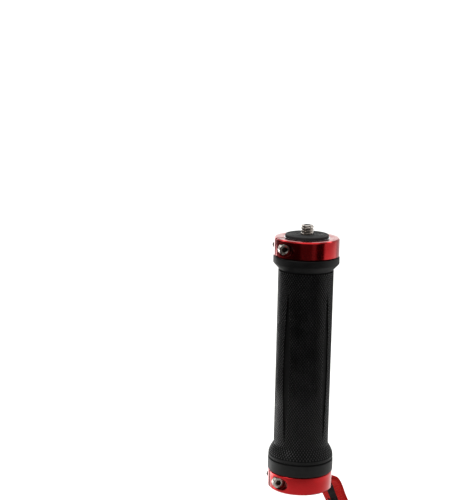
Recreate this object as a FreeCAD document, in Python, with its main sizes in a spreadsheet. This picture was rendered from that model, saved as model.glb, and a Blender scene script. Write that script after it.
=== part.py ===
import FreeCAD, Part
import Sketcher
import math
import os
import re

# Camera hand grip, built like a lock-on bicycle grip.
# Millimetres. +Z is up, along the camera stud. The origin is the middle of the
# seat that the camera rests on. The front of the grip faces -Y.

Vector = FreeCAD.Vector
Placement = FreeCAD.Placement
Rotation = FreeCAD.Rotation
UP = Vector(0, 0, 1)

# Driving sizes: alias, value, what it is
SIZES = [
    ("grip_length", 125.0, "outer face of one lock ring to the outer face of the other"),
    ("ring_height", 9.0, "a lock ring along the grip"),
    ("ring_chamfer", 0.6, "bevel on a lock ring's outer edges"),
    ("clamp_clearance", 0.05, "ring bore over the tube, radial"),
    ("slit_width", 1.2, "split in a lock ring"),
    ("clamp_azimuth", 200.0, "direction of the split, degrees from +X"),
    ("screw_cover", 2.3, "clamp screw's axis outside the tube"),
    ("rim_cover", 0.77, "lock ring's metal outside the tapped hole"),
    ("seat_distance", 4.2, "split's middle to the seat under the screw's head"),
    ("screw_diameter", 3.0, "clamp screw's thread"),
    ("screw_reach", 12.0, "clamp screw under its head"),
    ("head_diameter", 5.5, "clamp screw's head"),
    ("head_height", 3.0, "clamp screw's head"),
    ("head_bevel", 0.35, "bevel on the head's rim"),
    ("hex_across", 2.5, "hex socket across flats"),
    ("hex_depth", 1.5, "hex socket"),
    ("pocket_clearance", 0.25, "pocket round the screw's head, radial"),
    ("shank_clearance", 0.2, "hole between the seat and the split, radial"),
    ("thread_clearance", 0.08, "tapped hole over the plain thread, radial"),
    ("tube_diameter", 22.2, "core tube outside, the standard bar size"),
    ("tube_wall", 2.0, "core tube"),
    ("end_recess", 0.5, "core tube's lower end inside the ring's face"),
    ("plug_clearance", 0.05, "plug and cap in the tube, radial"),
    ("liner_clearance", 0.1, "liner over the tube, radial"),
    ("liner_wall", 1.0, "hard plastic liner"),
    ("bond_gap", 0.05, "liner to rubber, radial"),
    ("dog_width", 5.0, "key tooth on the liner"),
    ("dog_height", 2.6, "key tooth on the liner"),
    ("dog_clearance", 0.25, "notch in the ring round a tooth"),
    ("rubber_wall", 1.15, "rubber sleeve's body over the liner"),
    ("flange_overhang", 0.25, "rubber flange beyond the lock ring, radial"),
    ("flange_round", 0.4, "rubber flange's corner"),
    ("face_gap", 0.1, "rubber flange to the ring"),
    ("upper_flange_height", 3.2, "straight side of the upper flange"),
    ("upper_flare_height", 3.3, "slope from the upper flange to the body"),
    ("lower_flange_height", 5.6, "smooth band of the lower flange"),
    ("groove_height", 0.9, "groove above the smooth band"),
    ("groove_depth", 0.6, "groove above the smooth band"),
    ("groove_slope", 0.27, "each side of the groove, along the grip"),
    ("lip_height", 1.3, "bead above the groove"),
    ("lip_drop", 0.1, "bead inside the flange's side, radial"),
    ("shoulder_height", 4.6, "rounded shoulder above the bead"),
    ("channel_azimuth", 233.0, "direction of the first long channel"),
    ("channel_count", 4, "long channels in the sleeve"),
    ("channel_reach", 78.0, "a channel's length along the sleeve"),
    ("channel_width", 2.9, "a channel at its middle"),
    ("channel_floor", 0.45, "rubber left under a channel's middle"),
    ("cap_flange_height", 2.0, "top cap's flange"),
    ("cap_spigot_length", 16.0, "top cap in the tube"),
    ("stud_diameter", 6.35, "camera thread, 1/4 inch, 20 to the inch"),
    ("stud_reach", 4.5, "camera thread above the seat"),
    ("stud_bevel", 0.6, "bevel on the stud's tip"),
    ("stud_neck", 5.2, "neck under the camera thread"),
    ("root_diameter", 8.0, "stud's lower thread"),
    ("root_clearance", 0.08, "cap's and nut's thread over the stud, radial"),
    ("stud_hex", 3.0, "hex socket in the stud's tip, across flats"),
    ("nut_across", 13.0, "lock nut across flats"),
    ("nut_height", 4.0, "lock nut"),
    ("pad_inset", 0.6, "rubber seat pad inside the cap's flange, radial"),
    ("pad_thickness", 1.5, "rubber seat pad"),
    ("pad_bevel", 0.3, "bevel on the pad's rim"),
    ("pad_hole_gap", 0.325, "hole in the pad round the stud, radial"),
    ("grub_diameter", 4.0, "grub screw"),
    ("grub_reach", 5.0, "grub screw"),
    ("grub_hex", 2.0, "grub screw's socket across flats"),
    ("grub_drop", 10.0, "grub screws under the cap's flange"),
    ("grub_recess", 0.3, "grub screws' ends inside the tube's outside"),
    ("plug_length", 16.0, "bottom plug in the tube"),
    ("strap_azimuth", 50.0, "direction in which the strap leaves"),
    ("webbing_width", 15.0, "strap webbing"),
    ("webbing_thickness", 1.1, "strap webbing"),
    ("webbing_clearance", 0.3, "slots beside the webbing's edges"),
    ("slot_depth", 4.8, "strap slot in the tube's end and the plug"),
    ("slot_back", 3.2, "strap slot behind the grip's axis"),
    ("mouth_height", 3.0, "strap's way out under the lower ring"),
    ("pin_diameter", 2.0, "strap pin"),
    ("pin_height", 2.8, "strap pin's axis above the lower ring's face"),
    ("pin_clearance", 0.05, "strap pin's hole, radial"),
    ("pin_end_gap", 0.3, "strap pin's ends to the ring's bore"),
    ("cut_margin", 1.0, "a cut's run past the surface that it starts from"),
    ("leg_middle", 27.4, "middle of the strap's two legs from the grip's axis"),
    ("leg_spacing", 2.8, "the two legs in the slider, middle to middle"),
    ("neck_spacing", 1.2, "the two legs under the bar tack, middle to middle"),
    ("slider_width", 19.0, "slider across the webbing"),
    ("slider_wall", 1.4, "slider outside a slot"),
    ("slider_height", 9.0, "slider along the strap"),
    ("slider_bevel", 1.0, "slider's long corners"),
    ("slider_top", 40.0, "slider's top under the lower ring's face"),
    ("slot_clearance", 0.3, "slider's slots beside the webbing's faces"),
    ("tack_width", 11.0, "bar tack across the webbing"),
    ("tack_height", 8.0, "bar tack along the webbing"),
    ("tack_thickness", 0.5, "thread over the webbing"),
    ("tack_top", 12.2, "bar tack's top under the lower ring's face"),
]

# Strap's line: distance from the grip's axis, height over the lower ring's face.
# It starts under the bar tack, goes in and round the pin, out again, down through
# the slider and round the wrist loop, and ends where it began.
STRAP_ROUTE = [
    (28.0, -14.9),
    (28.0, -8.3),
    (25.6, -1.0),
    (19.0, 2.15),
    (7.0, 2.15),
    (2.4, 4.45),
    (-1.75, 4.45),
    (-1.75, 1.15),
    (4.5, 0.8),
    (18.7, 0.95),
    (24.6, -1.85),
    (26.8, -8.5),
    (26.8, -26.0),
    (26.05, -38.0),
    (25.95, -58.0),
    (26.0, -78.0),
    (19.6, -100.0),
    (8.3, -121.0),
    (2.0, -145.0),
    (8.5, -169.0),
    (28.5, -182.0),
    (48.5, -171.0),
    (57.0, -147.0),
    (51.0, -123.0),
    (37.0, -101.0),
    (28.8, -78.0),
    (28.85, -58.0),
    (28.75, -38.0),
    (28.0, -26.0),
    (28.0, -15.5),
]
ARC_SHARE = 0.45

doc = FreeCAD.newDocument("camera_hand_grip")
sheet = doc.addObject("Spreadsheet::Sheet", "Sizes")
for row, (alias, value, note) in enumerate(SIZES, start=1):
    sheet.set("A%d" % row, alias)
    sheet.set("B%d" % row, str(value))
    sheet.set("C%d" % row, note)
    sheet.setAlias("B%d" % row, alias)
doc.recompute()

parts = []


def size(alias):
    """Value of a named size."""
    return float(sheet.get(alias))


def bound(text):
    """Expression with each named size pointed at the sheet."""
    return re.sub(r"\b(%s)\b" % "|".join(entry[0] for entry in SIZES), r"Sizes.\1", text)


def number(text):
    """Present value of an expression."""
    return float(sheet.evalExpression(bound(text)))


def plane(body, role):
    """One of a body's own origin planes."""
    return next(item for item in body.Origin.OriginFeatures if item.Role == role)


def place(item, x="0", y="0", z="0", angle="0"):
    """Bind an object's placement: a turn about Z, then a move."""
    item.Placement = Placement(Vector(0, 0, 0), Rotation(UP, 10))
    item.setExpression(".Placement.Rotation.Angle", bound("(%s) * 1 deg" % angle))
    item.setExpression(".Placement.Base.x", bound(x))
    item.setExpression(".Placement.Base.y", bound(y))
    item.setExpression(".Placement.Base.z", bound(z))


def keep(item, label):
    """Give a finished sub-part its label and list it."""
    item.Label = label
    parts.append(item)
    return item


def new_body(label):
    """Empty body for one sub-part."""
    return keep(doc.addObject("PartDesign::Body", label + "_body"), label)


def new_sketch(body, role, offset="0", turn="0"):
    """Sketch on one of a body's planes, moved along its normal and turned."""
    sketch = body.newObject("Sketcher::SketchObject", body.Label + "_sketch")
    sketch.AttachmentSupport = (plane(body, role), "")
    sketch.MapMode = "FlatFace"
    sketch.AttachmentOffset = Placement(Vector(0, 0, 0), Rotation(UP, 10))
    sketch.setExpression(".AttachmentOffset.Rotation.Angle", bound("(%s) * 1 deg" % turn))
    sketch.setExpression(".AttachmentOffset.Base.z", bound(offset))
    return sketch


def pin_point(sketch, edge, end, x, y):
    """Hold a sketch point at two expressions from the sketch's origin."""
    for kind, text in (("DistanceX", x), ("DistanceY", y)):
        index = sketch.addConstraint(Sketcher.Constraint(kind, -1, 1, edge, end, number(text)))
        sketch.setExpression("Constraints[%d]" % index, bound(text))


def outline(sketch, corners):
    """Closed outline through corners given as expressions."""
    places = [Vector(number(x), number(y), 0) for x, y in corners]
    count = len(corners)
    first = sketch.GeometryCount
    for index in range(count):
        line = Part.LineSegment(places[index], places[(index + 1) % count])
        sketch.addGeometry(line, False)
    for index in range(count):
        after = first + (index + 1) % count
        sketch.addConstraint(Sketcher.Constraint("Coincident", first + index, 2, after, 1))
    for index, (x, y) in enumerate(corners):
        pin_point(sketch, first + index, 1, x, y)


def rectangle(sketch, left, right, low, high):
    """Rectangle given by expressions."""
    outline(sketch, [(left, low), (right, low), (right, high), (left, high)])


def circle(sketch, x, y, radius):
    """Circle given by expressions."""
    shape = Part.Circle(Vector(number(x), number(y), 0), UP, number(radius))
    edge = sketch.addGeometry(shape, False)
    pin_point(sketch, edge, 3, x, y)
    index = sketch.addConstraint(Sketcher.Constraint("Radius", edge, number(radius)))
    sketch.setExpression("Constraints[%d]" % index, bound(radius))


def hexagon(sketch, across):
    """Hexagon about the sketch's origin."""
    corners = []
    for index in range(6):
        reach = "%s / 2 / cos(30)" % across
        turn = "%d" % (60 * index)
        corners.append(("%s * cos(%s)" % (reach, turn), "%s * sin(%s)" % (reach, turn)))
    outline(sketch, corners)


def turned(body, corners, role="XZ_Plane"):
    """Revolve an outline about the sketch's vertical axis."""
    sketch = new_sketch(body, role)
    outline(sketch, corners)
    feature = body.newObject("PartDesign::Revolution", body.Label + "_turned")
    feature.Profile = sketch
    feature.ReferenceAxis = (sketch, ["V_Axis"])
    feature.Angle = 360
    body.Tip = feature
    return feature


def pad(body, sketch, length, reverse=False):
    """Add a sketch's area by a length."""
    feature = body.newObject("PartDesign::Pad", body.Label + "_pad")
    feature.Profile = sketch
    feature.Length = number(length)
    feature.setExpression("Length", bound(length))
    feature.Reversed = reverse
    body.Tip = feature
    return feature


def pocket(body, sketch, length, reverse=False, both=False):
    """Cut a sketch's area by a length, away from the sketch's normal unless reversed."""
    feature = body.newObject("PartDesign::Pocket", body.Label + "_pocket")
    feature.Profile = sketch
    feature.Length = number(length)
    feature.setExpression("Length", bound(length))
    feature.Reversed = reverse
    feature.Midplane = both
    body.Tip = feature
    doc.recompute()
    if feature.Shape.Volume >= feature.BaseFeature.Shape.Volume:
        raise RuntimeError("%s: a pocket cuts nothing" % body.Label)
    return feature


# Places along the grip, from the seat down
UPPER_RING_FACE = "-pad_thickness"
LOWER_RING_FACE = "-pad_thickness - grip_length"
UPPER_RING_BASE = "-pad_thickness - ring_height"
SLEEVE_BASE = "-pad_thickness - grip_length + ring_height + face_gap"
SLEEVE_LENGTH = "(grip_length - 2 * ring_height - 2 * face_gap)"
TUBE_BASE = "-pad_thickness - grip_length + end_recess"
TUBE_LENGTH = "(grip_length - end_recess - cap_flange_height)"
CAP_BASE = "-pad_thickness - cap_flange_height - cap_spigot_length"
BORE = "(tube_diameter / 2 - tube_wall)"
LINER_INSIDE = "(tube_diameter / 2 + liner_clearance)"
LINER_OUTSIDE = "(tube_diameter / 2 + liner_clearance + liner_wall)"
BARREL = "(tube_diameter / 2 + liner_clearance + liner_wall + bond_gap + rubber_wall)"
SCREW_OFFSET = "(tube_diameter / 2 + screw_cover)"
TAPPED_HOLE = "(screw_diameter / 2 + thread_clearance)"
RIM = "(tube_diameter / 2 + screw_cover + screw_diameter / 2 + thread_clearance + rim_cover)"
SLOT_HALF = "(webbing_width / 2 + webbing_clearance)"


# Core tube: bar-sized aluminium, slotted at its lower end for the strap
def make_core_tube():
    body = new_body("core_tube")
    turned(body, [
        (BORE, "0"),
        ("tube_diameter / 2", "0"),
        ("tube_diameter / 2", TUBE_LENGTH),
        (BORE, TUBE_LENGTH),
    ])
    slot = new_sketch(body, "XY_Plane")
    rectangle(slot, "-slot_back", "tube_diameter", "-" + SLOT_HALF, SLOT_HALF)
    pocket(body, slot, "slot_depth", reverse=True)
    hole = new_sketch(body, "XZ_Plane")
    circle(hole, "0", "pin_height - end_recess", "pin_diameter / 2 + pin_clearance")
    pocket(body, hole, "2 * tube_diameter", both=True)
    holes = new_sketch(body, "YZ_Plane")
    circle(holes, "0", TUBE_LENGTH + " - grub_drop", "grub_diameter / 2 + root_clearance")
    pocket(body, holes, "2 * tube_diameter", both=True)
    place(body, z=TUBE_BASE, angle="strap_azimuth")


# Bottom plug: fills the tube's lower end behind the strap's slot
def make_bottom_plug():
    body = new_body("bottom_plug")
    radius = BORE + " - plug_clearance"
    turned(body, [
        ("0", "0"),
        (radius, "0"),
        (radius, "plug_length"),
        ("0", "plug_length"),
    ])
    slot = new_sketch(body, "XY_Plane")
    rectangle(slot, "-slot_back", "tube_diameter", "-" + SLOT_HALF, SLOT_HALF)
    pocket(body, slot, "slot_depth", reverse=True)
    hole = new_sketch(body, "XZ_Plane")
    circle(hole, "0", "pin_height - end_recess", "pin_diameter / 2 + pin_clearance")
    pocket(body, hole, "2 * tube_diameter", both=True)
    place(body, z=TUBE_BASE, angle="strap_azimuth")


# Strap pin: across the slot, its ends covered by the lower ring
def make_strap_pin():
    body = new_body("strap_pin")
    half = "(tube_diameter / 2 + clamp_clearance - pin_end_gap)"
    turned(body, [
        ("0", "-" + half),
        ("pin_diameter / 2", "-" + half),
        ("pin_diameter / 2", half),
        ("0", half),
    ], role="XY_Plane")
    place(body, z=LOWER_RING_FACE + " + pin_height", angle="strap_azimuth")


# Top cap: turned plug with a flange over the tube's upper end
def make_top_cap():
    body = new_body("top_cap")
    spigot = BORE + " - plug_clearance"
    top = "cap_spigot_length + cap_flange_height"
    thread = "root_diameter / 2 + root_clearance"
    turned(body, [
        (thread, "0"),
        (spigot, "0"),
        (spigot, "cap_spigot_length"),
        ("tube_diameter / 2", "cap_spigot_length"),
        ("tube_diameter / 2", top),
        (thread, top),
    ])
    holes = new_sketch(body, "YZ_Plane")
    drop = "cap_spigot_length - grub_drop"
    circle(holes, "0", drop, "grub_diameter / 2 + root_clearance")
    pocket(body, holes, "2 * tube_diameter", both=True)
    place(body, z=CAP_BASE, angle="strap_azimuth")


# Two grub screws through the tube into the cap, under the upper ring
def make_cap_grub_screws():
    screws = []
    for side in (0, 180):
        shank = doc.addObject("Part::Cylinder", "grub_shank")
        shank.setExpression("Radius", bound("grub_diameter / 2"))
        shank.setExpression("Height", bound("grub_reach"))
        socket = doc.addObject("Part::Prism", "grub_socket")
        socket.Polygon = 6
        socket.setExpression("Circumradius", bound("grub_hex / 2 / cos(30)"))
        socket.setExpression("Height", bound("grub_reach / 2"))
        socket.setExpression(".Placement.Base.z", bound("grub_reach / 2"))
        screw = doc.addObject("Part::Cut", "grub_screw")
        screw.Base = shank
        screw.Tool = socket
        flush = "(tube_diameter / 2 - grub_reach - grub_recess)"
        way = "(strap_azimuth + %d)" % side
        lying = Rotation(UP, size("strap_azimuth") + side) * Rotation(Vector(0, 1, 0), 90)
        screw.Placement = Placement(Vector(0, 0, 0), lying)
        screw.setExpression(".Placement.Base.x", bound("%s * cos(%s)" % (flush, way)))
        screw.setExpression(".Placement.Base.y", bound("%s * sin(%s)" % (flush, way)))
        screw.setExpression(".Placement.Base.z", bound(TUBE_BASE + " + " + TUBE_LENGTH + " - grub_drop"))
        screws.append(screw)
    group = doc.addObject("Part::Compound", "cap_grub_screws_pair")
    group.Links = screws
    keep(group, "cap_grub_screws")


# Camera stud: camera thread above, thicker locked thread below
def make_camera_stud():
    body = new_body("camera_stud")
    tip = "stud_diameter / 2 - stud_bevel"
    foot = "-pad_thickness - cap_flange_height - cap_spigot_length - nut_height"
    turned(body, [
        ("0", foot),
        ("root_diameter / 2 - stud_bevel", foot),
        ("root_diameter / 2", foot + " + stud_bevel"),
        ("root_diameter / 2", "-pad_thickness"),
        ("stud_neck / 2", "-pad_thickness"),
        ("stud_neck / 2", "0"),
        ("stud_diameter / 2", "0"),
        ("stud_diameter / 2", "stud_reach - stud_bevel"),
        (tip, "stud_reach"),
        ("0", "stud_reach"),
    ])
    socket = new_sketch(body, "XY_Plane", offset="stud_reach")
    hexagon(socket, "stud_hex")
    pocket(body, socket, "stud_hex")


# Lock nut under the cap
def make_stud_lock_nut():
    blank = doc.addObject("Part::Prism", "nut_blank")
    blank.Polygon = 6
    blank.setExpression("Circumradius", bound("nut_across / 2 / cos(30)"))
    blank.setExpression("Height", bound("nut_height"))
    thread = doc.addObject("Part::Cylinder", "nut_thread")
    thread.setExpression("Radius", bound("root_diameter / 2 + root_clearance"))
    thread.setExpression("Height", bound("nut_height"))
    nut = doc.addObject("Part::Cut", "stud_lock_nut_cut")
    nut.Base = blank
    nut.Tool = thread
    place(nut, z=CAP_BASE + " - nut_height")
    keep(nut, "stud_lock_nut")


# Rubber pad: the seat that the camera is drawn down on
def make_camera_pad():
    body = new_body("camera_pad")
    rim = "tube_diameter / 2 - pad_inset"
    hole = "stud_diameter / 2 + pad_hole_gap"
    turned(body, [
        (hole, "0"),
        (rim, "0"),
        (rim, "pad_thickness - pad_bevel"),
        (rim + " - pad_bevel", "pad_thickness"),
        (hole, "pad_thickness"),
    ])
    place(body, z=UPPER_RING_FACE)


# Liner: hard plastic under the rubber, with three key teeth at each end
def make_grip_liner():
    body = new_body("grip_liner")
    length = "(" + SLEEVE_LENGTH + " + 2 * face_gap)"
    turned(body, [
        (LINER_INSIDE, "0"),
        (LINER_OUTSIDE, "0"),
        (LINER_OUTSIDE, length),
        (LINER_INSIDE, length),
    ])
    half = "dog_width / 2"
    outer = "sqrt(%s ^ 2 - (dog_width / 2) ^ 2)" % LINER_OUTSIDE
    for offset, down in (("0", True), (length, False)):
        for turn in ("90", "180", "270"):
            tooth = new_sketch(body, "XY_Plane", offset=offset, turn=turn)
            rectangle(tooth, LINER_INSIDE, outer, "-" + half, half)
            pad(body, tooth, "dog_height", reverse=down)
    place(body, z=LOWER_RING_FACE + " + ring_height", angle="clamp_azimuth")


# Rubber sleeve: a body between two flanges, with long narrow channels
def make_grip_sleeve():
    body = new_body("grip_sleeve")
    inside = LINER_OUTSIDE + " + bond_gap"
    flange = "(" + RIM + " + flange_overhang)"
    band = "lower_flange_height"
    lip = band + " + groove_height"
    shoulder = lip + " + lip_height"
    top = SLEEVE_LENGTH
    flare = top + " - upper_flange_height"
    rise = "(" + flange + " - " + BARREL + ")"
    turned(body, [
        (inside, "0"),
        (flange + " - flange_round", "0"),
        (flange, "flange_round"),
        (flange, band),
        (flange + " - groove_depth", band + " + groove_slope"),
        (flange + " - groove_depth", lip + " - groove_slope"),
        (flange + " - lip_drop", lip),
        (flange + " - lip_drop", shoulder),
        (flange + " - %s * 0.25" % rise, shoulder + " + shoulder_height * 0.38"),
        (flange + " - %s * 0.62" % rise, shoulder + " + shoulder_height * 0.72"),
        (BARREL, shoulder + " + shoulder_height"),
        (BARREL, flare + " - upper_flare_height"),
        (flange, flare),
        (flange, top + " - flange_round"),
        (flange + " - flange_round", top),
        (inside, top),
    ])
    half_width = "(channel_width / 2)"
    half_reach = "(channel_reach / 2)"
    middle = "(%s / 2)" % SLEEVE_LENGTH
    bow = "((%s ^ 2 + %s ^ 2) / (2 * %s))" % (half_reach, half_width, half_width)
    sketch = new_sketch(body, "XZ_Plane", offset=BARREL + " + cut_margin")
    low = Vector(0, number(middle + " - " + half_reach), 0)
    high = Vector(0, number(middle + " + " + half_reach), 0)
    right = Vector(number(half_width), number(middle), 0)
    left = Vector(-number(half_width), number(middle), 0)
    sketch.addGeometry(Part.Arc(low, right, high), False)
    sketch.addGeometry(Part.Arc(high, left, low), False)
    sketch.addConstraint(Sketcher.Constraint("Coincident", 0, 1, 1, 2))
    sketch.addConstraint(Sketcher.Constraint("Coincident", 0, 2, 1, 1))
    pin_point(sketch, 0, 1, "0", middle + " - " + half_reach)
    pin_point(sketch, 0, 2, "0", middle + " + " + half_reach)
    for edge in (0, 1):
        index = sketch.addConstraint(Sketcher.Constraint("Radius", edge, number(bow)))
        sketch.setExpression("Constraints[%d]" % index, bound(bow))
    channel = pocket(body, sketch, "cut_margin + rubber_wall - channel_floor")
    pattern = body.newObject("PartDesign::PolarPattern", "channel_pattern")
    pattern.Originals = [channel]
    pattern.Axis = (next(a for a in body.Origin.OriginFeatures if a.Role == "Z_Axis"), "")
    pattern.Angle = 360
    pattern.Occurrences = int(size("channel_count"))
    pattern.setExpression("Occurrences", bound("channel_count"))
    body.Tip = pattern
    place(body, z=SLEEVE_BASE, angle="channel_azimuth + 90")


# Lock ring: split clamp with a pocket for the screw's head and key notches
def make_lock_ring(label, inner_up):
    body = new_body(label)
    bore = "(tube_diameter / 2 + clamp_clearance)"
    clear = RIM + " + cut_margin"
    turned(body, [
        (bore, "0"),
        (RIM + " - ring_chamfer", "0"),
        (RIM, "ring_chamfer"),
        (RIM, "ring_height - ring_chamfer"),
        (RIM + " - ring_chamfer", "ring_height"),
        (bore, "ring_height"),
    ])
    slit = new_sketch(body, "XY_Plane")
    rectangle(slit, "tube_diameter / 4", clear, "-slit_width / 2", "slit_width / 2")
    pocket(body, slit, "ring_height", reverse=True)
    seat = new_sketch(body, "XZ_Plane", offset="-seat_distance")
    circle(seat, SCREW_OFFSET, "ring_height / 2", "head_diameter / 2 + pocket_clearance")
    pocket(body, seat, clear)
    near = new_sketch(body, "XZ_Plane")
    circle(near, SCREW_OFFSET, "ring_height / 2", "screw_diameter / 2 + shank_clearance")
    pocket(body, near, clear)
    far = new_sketch(body, "XZ_Plane")
    circle(far, SCREW_OFFSET, "ring_height / 2", TAPPED_HOLE)
    pocket(body, far, clear, reverse=True)
    half = "(dog_width / 2 + dog_clearance)"
    reach = "%s + dog_clearance" % LINER_OUTSIDE
    level = "ring_height" if inner_up else "0"
    for turn in ("90", "180", "270"):
        notch = new_sketch(body, "XY_Plane", offset=level, turn=turn)
        rectangle(notch, "tube_diameter / 4", reach, "-" + half, half)
        pocket(body, notch, "dog_height + dog_clearance", reverse=not inner_up)
    if inner_up:
        mouth = new_sketch(body, "XY_Plane", turn="strap_azimuth - clamp_azimuth")
        rectangle(mouth, "tube_diameter / 4", clear, "-" + SLOT_HALF, SLOT_HALF)
        pocket(body, mouth, "mouth_height", reverse=True)
    place(body, z=LOWER_RING_FACE if inner_up else UPPER_RING_BASE, angle="clamp_azimuth")


# Clamp screw: socket head in the ring's pocket, its tip out of the far side
def make_clamp_screw(label, ring_base):
    body = new_body(label)
    head = "head_diameter / 2"
    shank = "screw_diameter / 2"
    turned(body, [
        ("0", "-screw_reach"),
        (shank + " - head_bevel", "-screw_reach"),
        (shank, "-screw_reach + head_bevel"),
        (shank, "0"),
        (head, "0"),
        (head, "head_height - head_bevel"),
        (head + " - head_bevel", "head_height"),
        ("0", "head_height"),
    ], role="XY_Plane")
    socket = new_sketch(body, "XZ_Plane", offset="-head_height")
    hexagon(socket, "hex_across")
    pocket(body, socket, "hex_depth", reverse=True)
    along = "cos(clamp_azimuth)"
    across = "sin(clamp_azimuth)"
    place(
        body,
        x="%s * %s - %s * seat_distance" % (along, SCREW_OFFSET, across),
        y="%s * %s + %s * seat_distance" % (across, SCREW_OFFSET, along),
        z=ring_base + " + ring_height / 2",
        angle="clamp_azimuth",
    )


def side_of(points, half):
    """One side of a route's line, as edges: straight runs joined by tangent arcs."""
    edges = []
    start = None
    for before, corner, after in zip([None] + points[:-1], points, points[1:] + [None]):
        came = (corner - before).normalize() if before is not None else None
        goes = (after - corner).normalize() if after is not None else None
        if before is None or after is None:
            along = goes if before is None else came
            here = corner + Vector(-along.z, 0, along.x) * half
            if start is not None:
                edges.append(Part.LineSegment(start, here).toShape())
            start = here
            continue
        share = ARC_SHARE * min((corner - before).Length, (after - corner).Length)
        turn = math.atan2(came.x * goes.z - came.z * goes.x, came.dot(goes))
        sign = math.copysign(1.0, turn)
        radius = share / math.tan(abs(turn) / 2)
        centre = corner - came * share + Vector(-came.z, 0, came.x) * radius * sign
        outward = (corner - centre).normalize()
        first = corner - came * share + Vector(-came.z, 0, came.x) * half
        last = corner + goes * share + Vector(-goes.z, 0, goes.x) * half
        edges.append(Part.LineSegment(start, first).toShape())
        edges.append(Part.Arc(first, centre + outward * (radius - half * sign), last).toShape())
        start = last
    return edges


# Wrist strap: one band of webbing, laid on edge along its line
def make_wrist_strap():
    half = size("webbing_thickness") / 2
    width = size("webbing_width")
    points = [Vector(reach, -width / 2, height) for reach, height in STRAP_ROUTE]
    left = side_of(points, half)
    right = side_of(points, -half)
    ends = [
        Part.LineSegment(left[0].Vertexes[0].Point, right[0].Vertexes[0].Point).toShape(),
        Part.LineSegment(left[-1].Vertexes[-1].Point, right[-1].Vertexes[-1].Point).toShape(),
    ]
    wire = Part.Wire(Part.__sortEdges__(left + right + ends))
    strap = doc.addObject("Part::Feature", "wrist_strap_band")
    strap.Shape = Part.Face(wire).extrude(Vector(0, width, 0))
    base = Vector(0, 0, number(LOWER_RING_FACE))
    strap.Placement = Placement(base, Rotation(UP, size("strap_azimuth")))
    keep(strap, "wrist_strap")
    middle = side_of(points, 0.0)
    length = sum(edge.Length for edge in middle)
    radii = [edge.Curve.Radius for edge in middle if edge.Curve.TypeId == "Part::GeomCircle"]
    print("strap: %.1f mm long, %.1f mm thick" % (length, 2 * half))
    print("strap's arcs, radius in mm: " + ", ".join("%.1f" % radius for radius in radii))
    expected = length * width * 2 * half
    print("strap's volume: %.1f of %.1f mm3" % (strap.Shape.Volume, expected))


# Bar tack: the thread that sews the strap's neck, on both of its faces
def make_strap_stitching():
    neck = "((neck_spacing + webbing_thickness) / 2)"
    threads = []
    for reach in ("leg_middle + " + neck, "leg_middle - " + neck + " - tack_thickness"):
        thread = doc.addObject("Part::Box", "tack_thread")
        thread.setExpression("Length", bound("tack_thickness"))
        thread.setExpression("Width", bound("tack_width"))
        thread.setExpression("Height", bound("tack_height"))
        place(
            thread,
            x="(%s) * cos(strap_azimuth) + tack_width / 2 * sin(strap_azimuth)" % reach,
            y="(%s) * sin(strap_azimuth) - tack_width / 2 * cos(strap_azimuth)" % reach,
            z=LOWER_RING_FACE + " - tack_top - tack_height",
            angle="strap_azimuth",
        )
        threads.append(thread)
    group = doc.addObject("Part::Compound", "strap_stitching_pair")
    group.Links = threads
    keep(group, "strap_stitching")


# Slider: moulded block with one slot for each leg of the strap
def make_strap_slider():
    body = new_body("strap_slider")
    slot = "(webbing_thickness / 2 + slot_clearance)"
    deep = "(leg_spacing / 2 + %s + slider_wall)" % slot
    wide = "(slider_width / 2)"
    block = new_sketch(body, "XY_Plane")
    outline(block, [
        (deep + " - slider_bevel", "-" + wide),
        (deep, "-" + wide + " + slider_bevel"),
        (deep, wide + " - slider_bevel"),
        (deep + " - slider_bevel", wide),
        ("-" + deep + " + slider_bevel", wide),
        ("-" + deep, wide + " - slider_bevel"),
        ("-" + deep, "-" + wide + " + slider_bevel"),
        ("-" + deep + " + slider_bevel", "-" + wide),
    ])
    for leg in ("leg_spacing / 2", "-leg_spacing / 2"):
        rectangle(block, leg + " - " + slot, leg + " + " + slot, "-" + SLOT_HALF, SLOT_HALF)
    pad(body, block, "slider_height")
    place(
        body,
        x="leg_middle * cos(strap_azimuth)",
        y="leg_middle * sin(strap_azimuth)",
        z=LOWER_RING_FACE + " - slider_top - slider_height",
        angle="strap_azimuth",
    )


make_core_tube()
make_bottom_plug()
make_strap_pin()
make_top_cap()
make_cap_grub_screws()
make_camera_stud()
make_stud_lock_nut()
make_camera_pad()
make_grip_liner()
make_grip_sleeve()
make_lock_ring("upper_lock_ring", inner_up=False)
make_lock_ring("lower_lock_ring", inner_up=True)
make_clamp_screw("upper_clamp_screw", UPPER_RING_BASE)
make_clamp_screw("lower_clamp_screw", LOWER_RING_FACE)
make_wrist_strap()
make_strap_stitching()
make_strap_slider()
doc.recompute()

for item in doc.Objects:
    if "Invalid" in item.State or "Error" in item.State:
        raise RuntimeError("%s did not build: %s" % (item.Label, item.State))
for part in parts:
    if part.Shape.isNull() or not part.Shape.isValid() or not part.Shape.Solids:
        raise RuntimeError("%s has no valid solid" % part.Label)

os.makedirs("parts", exist_ok=True)
for part in parts:
    part.Shape.exportStep("parts/%s.step" % part.Label)
    print("%s: %d solid(s), %.1f mm3" % (part.Label, len(part.Shape.Solids), part.Shape.Volume))
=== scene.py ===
"""Looks of the camera hand grip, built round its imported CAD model.

Metres, in the model's own frame: +Z runs up along the stud, the front faces -Y.
The pieces' sizes are dataclass fields in millimetres, turned into metres where they are used.
The studio's are in metres.
"""

import logging
from collections.abc import Callable, Iterator
from contextlib import contextmanager
from dataclasses import dataclass
from enum import Enum
from functools import cache
from itertools import product
from math import asin, atan2, ceil, cos, degrees, hypot, pi, radians, sin, tau
from typing import ClassVar

import bmesh
import bpy
from bmesh.types import BMEdge, BMFace
from bpy.types import Material, Node, NodeSocket, NodeTree, Object
from mathutils import Matrix, Vector


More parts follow.
